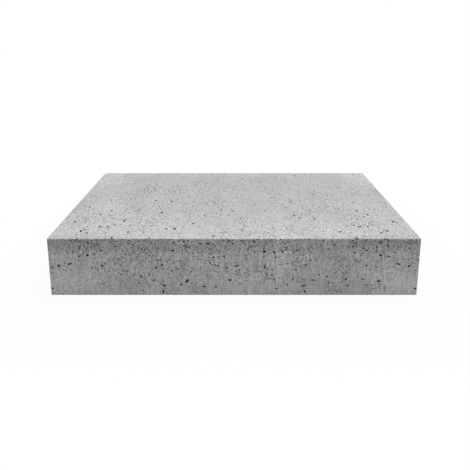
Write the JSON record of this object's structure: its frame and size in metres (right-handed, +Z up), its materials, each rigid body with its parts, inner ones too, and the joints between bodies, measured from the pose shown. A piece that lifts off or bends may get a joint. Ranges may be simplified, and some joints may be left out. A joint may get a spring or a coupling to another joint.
{
  "type": "concrete stair step",
  "caption": "Solid rectangular concrete block step with rounded arrises and a porous as-cast face, laid on a bed and overlapped by the next step up.",
  "frame": {"origin": "centre of the underside", "axes": "+X along the length of the step, +Y from the riser face to the back face, +Z up"},
  "size_m": [0.9, 0.4, 0.15],
  "materials": {
    "concrete": "matte grey cast concrete with open air pores"
  },
  "bodies": {
    "root": {"stair_step": "concrete"}
  },
  "joints": []
}
